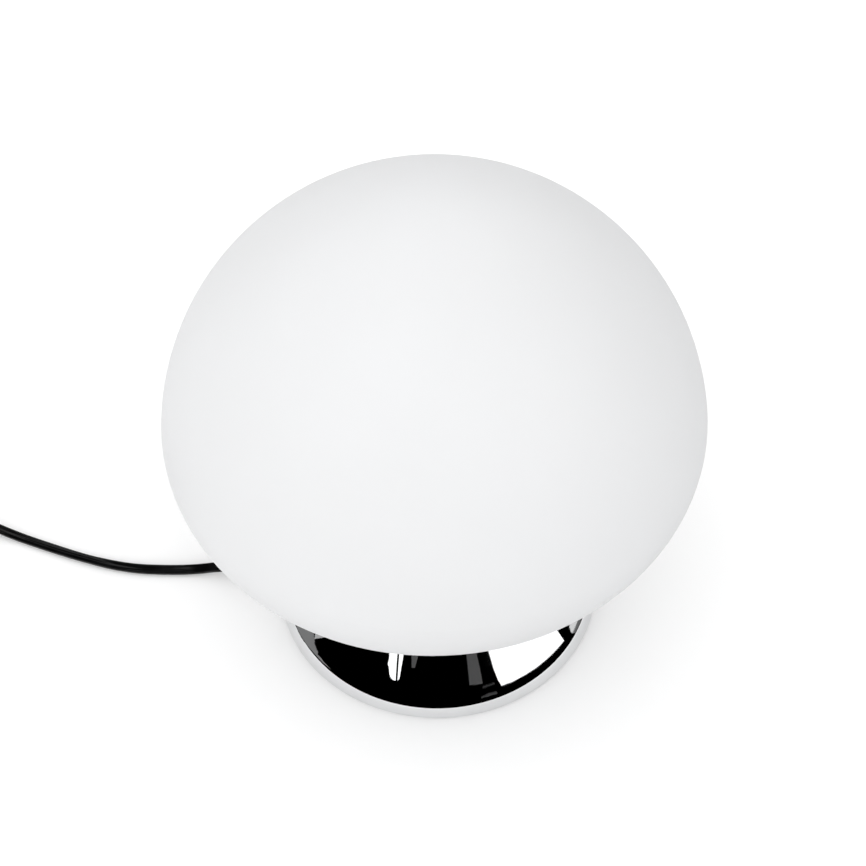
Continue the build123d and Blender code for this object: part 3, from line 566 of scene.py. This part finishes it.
# how far round the jacket is twisted, in degrees, at distances along the cord
twist = [(0, 0), (0.014, -30), (0.022, -36), (0.046, -20), (0.073, -3), (0.093, 18), (0.120, 10), (0.150, 0),
         (0.245, 0), (0.285, 90), (1.735, 90), (1.775, 180), (9, 180)]


def along_spline(points):
    """The line that the cord follows, read from its own spline."""
    curve = bpy.data.curves.new("line", "CURVE")
    curve.dimensions, curve.resolution_u = "3D", 8
    spline = curve.splines.new("NURBS")
    spline.points.add(len(points) - 1)
    for point, place in zip(spline.points, points):
        point.co = (*place, 1)
    spline.order_u, spline.use_endpoint_u = 3, True
    holder = bpy.data.objects.new("line", curve)
    line = [v.co.copy() for v in bpy.data.meshes.new_from_object(holder).vertices]
    bpy.data.objects.remove(holder)
    return line


def eased(table, s):
    """The value of a table of (distance, value) at a distance, eased between its rows."""
    for (s0, v0), (s1, v1) in zip(table, table[1:]):
        if s <= s1:
            t = (s - s0) / (s1 - s0)
            return v0 + (v1 - v0) * t * t * (3 - 2 * t)
    return table[-1][1]


def jacket_section(count=11):
    """Half the flat cord's outline over its width: two round ridges with a shallow valley between."""
    half, core, valley = cord_width / 2, cord_thickness / 2, 0.00045
    middle = half - core
    top = []
    for i in range(count + 1):
        x = half * cos(pi * i / count)
        if abs(x) > middle:
            y = sqrt(max(0.0, core**2 - (abs(x) - middle) ** 2))
        else:
            y = core - valley * (0.5 + 0.5 * cos(pi * x / middle))
        top.append((x, y))
    return top + [(x, -y) for x, y in reversed(top[1:-1])]


def tube_faces(rows, sides, closed=False):
    """Faces between rows of corners that each go once round a tube; a closed tube joins its ends."""
    return [(i * sides + k, i * sides + (k + 1) % sides,
             (i + 1) % rows * sides + (k + 1) % sides, (i + 1) % rows * sides + k)
            for i in range(rows if closed else rows - 1) for k in range(sides)]


def flat_cord(name, line, section, material):
    """A tube of the flat section along the line, with its own UV: round it and along it in metres."""
    corners, distance, girth = [], [0.0], 0.016
    for a, b in zip(line, line[1:]):
        distance.append(distance[-1] + (b - a).length)
    for i, (place, s) in enumerate(zip(line, distance)):
        ahead = (line[min(i + 1, len(line) - 1)] - line[max(i - 1, 0)]).normalized()
        side = Vector((0, 0, 1)).cross(ahead).normalized()
        normal = ahead.cross(side)
        a = radians(eased(twist, s))
        wide, thick = side * cos(a) + normal * sin(a), normal * cos(a) - side * sin(a)
        corners += [place + wide * x + thick * y for x, y in section]
    n = len(section)
    faces = tube_faces(len(line), n) + [range(n), range(len(corners) - n, len(corners))]
    made = solid(name, material, "lamp", corners, faces, 50)
    layer = made.data.uv_layers.new(name="along")
    for face in made.data.polygons:
        at_seam = len(face.vertices) == 4 and any(v % n == n - 1 for v in face.vertices)
        for loop, v in zip(face.loop_indices, face.vertices):
            k = n if at_seam and v % n == 0 else v % n
            layer.data[loop].uv = (k / n * girth, distance[v // n])
    return made


line = along_spline(route)
cord = flat_cord("free_cord", line, jacket_section(), cord_black)
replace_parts(cord, "cord_lead", "cord_run", "cord_coil", "cord_tail")
dress("cord_inner", cord_black)

# ---- Cord relief
# A soft moulded bush in the shell's hole. Its tail tapers to the cord and is cut by cross slots, so that
# it bends with the cord instead of kinking it.

rubber = moulded("soft_pvc", (0.012, 0.012, 0.0125), (0.007, 0.007, 0.0075), 0.46, 0.00008)
dress("cord_relief", rubber)


def oval_rib(width, height, bead):
    """A bead of round section laid round a flat-sided oval that faces along X."""
    loop, r, flat, sides = [], height / 2, (width - height) / 2, 8
    for side, start in ((1, -90), (-1, 90)):
        for k in range(13):
            a = radians(start + 15 * k)
            loop.append((side * flat + r * cos(a), r * sin(a), cos(a), sin(a)))
    corners = []
    for y, z, across, up in loop:
        for k in range(sides):
            out, along = bead * cos(tau * k / sides), bead * sin(tau * k / sides)
            corners.append((along, y + across * out, z + up * out))
    return corners, tube_faces(len(loop), sides, closed=True)


relief_places = [(-0.0985 - 0.003 * i, 0, bush_z) for i in range(6)]
set_in_places("relief_ribs", "lamp", relief_places, oval_rib(width=0.0094, height=0.0067, bead=0.00055),
              rubber, spin=0.0, taper=0.034, smooth=60)

# ---- Tie
# A strip of black hook-and-loop tape closed round the turns of the coil, so that they stay together. It
# is cut from a roll, and its end laps over its own start on top of the coil.

tape, place = finish("loop_tape", (0.02, 0.02, 0.021), 0.9)
weave = place.node("TexVoronoi", {"feature": "F1"}, {"Vector": place, "Scale": 1300.0})
nap = place.noise(700.0, 3.0, 0.7)
nap.between(0.3, 0.7).blend((0.012, 0.012, 0.013), (0.045, 0.045, 0.047)).to("Base Color")
(weave * 0.2 + nap * 0.1 + 0.75).to("Roughness")
((1 - weave) * 0.7 + nap * 0.4).relief(0.0004, 0.9)


def tape_loop(name, material, angle, width, wall):
    """A strip of tape once round the coil's section and on over its own start, with its end on top."""
    inner, outer, low, high, corner = 0.0281, 0.0438, 0.00005, 0.0131, 0.0026
    # each point: distance from the coil's middle, height, the way out of the loop, and walls below it
    path = [(0.0350, high, 0, 1, 0)]
    for r, z, start in ((inner + corner, high - corner, 90), (inner + corner, low + corner, 180),
                        (outer - corner, low + corner, 270), (outer - corner, high - corner, 0)):
        for k in range(7):
            a = radians(start + 15 * k)
            path.append((r + corner * cos(a), z + corner * sin(a), cos(a), sin(a), 0))
    for r, lap in ((0.0385, 0.3), (0.0362, 1.0), (0.0325, 1.05), (0.0305, 1.15)):
        path.append((r, high, 0, 1, lap))
    corners = []
    u, v = Vector((cos(angle), sin(angle), 0)), Vector((-sin(angle), cos(angle), 0))
    for r, z, nr, nz, lap in path:
        for side, out in ((-1, 0), (1, 0), (1, 1), (-1, 1)):
            # under the coil the strip is pressed flat on the table
            lift = wall * (lap + out) if nz > -0.5 else 0.0
            corners.append(Vector((*coil_middle, z + nz * lift)) + u * (r + nr * lift) + v * side * width / 2)
    faces = tube_faces(len(path), 4) + [range(4), range(len(corners) - 4, len(corners))]
    return solid(name, material, "lamp", corners, faces, 40)


tie = tape_loop("coil_tie", tape, angle=radians(12), width=0.010, wall=0.0008)

# ---- In-line switch
# A black ABS housing in two halves with a see-saw key. The halves are moulded with a fine spark texture;
# the key is polished.

housing = moulded("switch_abs", (0.013, 0.013, 0.0135), (0.019, 0.019, 0.0195), 0.42, 0.00006)
key = moulded("switch_key", (0.009, 0.009, 0.0095), (0.014, 0.014, 0.0145), 0.24, 0.00002)
dress("switch_lower", housing)
dress("switch_upper", housing)
dress("switch_rocker", key)
dress("switch_contacts", brass)
housing_places = [(switch_x + side * 0.0215, switch_y + side * 0.007, 0.0021) for side in (-1, 1)]
switch_screws = set_in_places("housing_screws", "lamp", housing_places,
                              one_screw(radius=0.00125, length=0.010), steel, heads_up=False, seed=2)
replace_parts(switch_screws, "switch_screws")


def grip_bar(length, bead):
    """A half-sunk round bar across the housing, closed by a rounded end at each side."""
    sides = 12
    rows = []
    for a in (0, 30, 60, 90):
        rows.append((-length / 2 - bead * cos(radians(a)), bead * sin(radians(a))))
    rows += [(-y, r) for y, r in reversed(rows)]
    corners = [(r * cos(tau * k / sides), y, r * sin(tau * k / sides)) for y, r in rows for k in range(sides)]
    return corners, tube_faces(len(rows), sides)


grip_places = [(switch_x + side * (0.0140 + 0.0022 * i), switch_y, 0.0169)
               for side in (-1, 1) for i in range(5)]
grips = set_in_places("grip_bars", "lamp", grip_places, grip_bar(length=0.011, bead=0.0006), housing,
                      spin=0.0, smooth=60)

# ---- Plug
# A flat two-pin plug moulded in one with the cord's end: black PVC, with brass pins that are nickelled at
# their tips and sleeved at their roots.

dress("plug_body", rubber)
dress("plug_pins", nickel)
dress("pin_sleeves", moulded("pin_sleeve", (0.02, 0.02, 0.021), (0.028, 0.028, 0.03), 0.35))
plug_rib_places = [(-0.3500 + 0.0032 * i, plug_y, plug_z) for i in range(6)]
plug_ribs = set_in_places("plug_ribs", "lamp", plug_rib_places,
                          oval_rib(width=0.0082, height=0.0058, bead=0.0005), rubber, spin=0.0, taper=-0.048,
                          smooth=60)

# ---- Table
# A plain white table, wide enough that below the horizon the chrome shows nothing else. The light that it
# would send back up comes from the dim lower half of the room instead.

table_radius = 12
material, place = finish("white_table", (0.96, 0.96, 0.96), 0.6, specular_ior_level=0.2,
                         emission_color=(1.0, 1.0, 1.0, 1.0), emission_strength=0.06)
mist = place.noise(3.0, 2.0, 0.5)
mist.between(0.3, 0.7).blend((0.965, 0.965, 0.965), (0.955, 0.956, 0.957)).to("Base Color")
floor = solid("table", material, corners=ring_of(count=64, circle=table_radius, z=0), faces=[range(64)])
floor.visible_diffuse = False

# ---- Camera
# Where the photograph was taken from: about 50 degrees above the table, 0.84 m from the globe's middle.
# Place, direction and lens were fitted to the outlines of globe, base and cord.

camera = bpy.data.objects.new("camera", bpy.data.cameras.new("camera"))
camera.data.lens, camera.data.sensor_width = 67.619, 36.0
forward, up = Vector((-0.03839, 0.62967, -0.77592)), Vector((-0.02215, 0.77576, 0.63064))
across = forward.cross(up).normalized()
up = across.cross(forward)
turned = Matrix((across, up, -forward)).transposed().to_4x4()
camera.matrix_world = Matrix.Translation((0.03199, -0.53843, 0.80063)) @ turned
camera.data.clip_start, camera.data.clip_end = 0.01, 100
scene.collection.objects.link(camera)
scene.camera = camera
scene.view_settings.view_transform = "Standard"

# ---- Studio
# Soft even light from a white room, which the chrome doesn't show: it shows a dark studio with a large
# window light on the right, two narrow strips in front, dim boards at the sides and two faint rails.
# The boards are placed from the pixels in which the photograph shows them in the chrome.

room = scene.world = bpy.data.worlds.new("room")
room.use_nodes = True
ahead = Tone(room.node_tree.nodes.new("ShaderNodeTexCoord").outputs["Generated"])
brightest = (-0.20, -0.64, 0.74)
towards = ahead.node("VectorMath", {"operation": "DOT_PRODUCT"}, {0: ahead, 1: brightest}, "Value")
light = room.node_tree.nodes["Background"].inputs
room.node_tree.links.new((towards * 0.59 + 0.885).socket, light["Strength"])
light["Color"].default_value = (1.0, 1.0, 1.0, 1)
room.cycles_visibility.glossy = False

photo_width = 866
board_distance = 1.6
shell = parts["base_shell"]
bpy.context.view_layer.update()


def shown_at(pixel):
    """The place that the chrome shell shows at a pixel of the photograph, at the boards' distance."""
    step = camera.data.sensor_width / camera.data.lens / photo_width
    right, down = (value + 0.5 - photo_width / 2 for value in pixel)
    ray = (forward + across * right * step - up * down * step).normalized()
    _, spot, _, index = shell.ray_cast(camera.matrix_world.translation, ray)
    face = shell.data.polygons[index]
    shares = poly_3d_calc([shell.data.vertices[v].co for v in face.vertices], spot)
    normal = Vector()
    for corner, share in zip(face.loop_indices, shares):
        normal += shell.data.corner_normals[corner].vector * share
    return spot + ray.reflect(normal.normalized()) * board_distance


def board(name, corners, strength):
    """A glowing board that only reflections see."""
    glow = bpy.data.materials.new(name)
    glow.use_nodes = True
    shader = glow.node_tree.nodes["Principled BSDF"]
    shader.inputs["Base Color"].default_value = (0, 0, 0, 1)
    shader.inputs["Emission Color"].default_value = (1, 1, 1, 1)
    shader.inputs["Emission Strength"].default_value = strength
    made = solid(name, glow, corners=corners, faces=[range(len(corners))])
    made.visible_camera = made.visible_diffuse = made.visible_shadow = False
    made.visible_transmission = made.visible_volume_scatter = False


# what the photograph shows in the chrome: each board's outline in the photograph's pixels, and its glow
for name, outline, strength in (
    ("window", [(501, 685.4), (512, 681.2), (524, 674.7), (536, 666.9), (548, 657), (558, 646.8),
                (563.5, 640), (557.5, 631.2), (531, 607), (483, 635), (488.3, 652), (493, 668),
                (497.7, 680)], 1.7),
    ("strip_left", [(393, 680), (395.1, 680.3), (395.8, 668), (396.9, 653), (397.7, 639), (390, 639),
                    (388.7, 658), (387.4, 663), (388.6, 668.5), (389, 674), (390.8, 678)], 1.7),
    ("strip_right", [(397, 680.3), (399, 678), (400.6, 668), (402.2, 659), (403.2, 653), (404, 640),
                     (399.9, 640), (398.9, 653), (397.9, 667)], 1.7),
    ("dim_strip", [(411.2, 667), (414.5, 667), (417.6, 656), (418, 641), (411.5, 641), (411, 656)], 0.055),
    ("grey_board", [(469, 685), (482.2, 683), (476.4, 655), (473.5, 639), (464, 639), (466, 655)], 0.054),
    ("left_board", [(295, 622), (305, 612), (319, 618), (313, 632), (314, 643), (317.5, 652), (323, 661),
                    (331, 669), (322, 662), (314, 653), (305, 642), (298, 631)], 0.2),
    ("left_patch", [(314, 638.5), (323.5, 637), (326, 630), (316, 626)], 0.45),
    ("right_light", [(570.6, 632), (572, 632.5), (575, 626), (578, 618), (572, 614), (568.8, 626)], 0.8),
    ("right_board", [(572, 632.5), (574.2, 633), (577.5, 627), (580.5, 620), (578, 618), (575, 626)], 0.13),
    ("near_rail", [(482, 686), (494, 682), (494, 683.6), (482, 687.8)], 0.014),
    ("far_rail", [(481, 696.2), (488, 692.8), (496, 690.8), (497, 692.8), (489, 695.4), (481, 698)], 0.024),
):
    board(name, [shown_at(pixel) for pixel in outline], strength)
# and two that it doesn't show, for the sides that it was not taken from
board("overhead", [(-0.60, -0.22, 1.95), (0.40, -0.22, 1.95), (0.40, 0.30, 1.95), (-0.60, 0.30, 1.95)], 0.6)
board("back_window", [(-0.75, 0.95, 1.55), (0.75, 0.95, 1.55), (0.75, 1.45, 1.05), (-0.75, 1.45, 1.05)], 1.0)

# ---- Backdrop
# A dome of white paper far behind the table. Only the camera sees it, so that a low view has the same
# plain ground as the photograph.

paper, place = finish("backdrop_paper", (0, 0, 0), 1.0, specular_ior_level=0.0, emission_strength=1.0)
place.noise(0.2, 1.0).blend((1.0, 1.0, 1.0), (0.995, 0.995, 0.995)).to("Emission Color")
dome_radius = 11.8
arc = [(dome_radius * cos(radians(a)), dome_radius * sin(radians(a))) for a in range(-4, 90, 4)]
corners, faces = turned_form(arc + [(0, dome_radius)])
dome = solid("backdrop", paper, corners=corners, faces=faces)
dome.visible_diffuse = dome.visible_glossy = dome.visible_transmission = False
dome.visible_volume_scatter = dome.visible_shadow = False
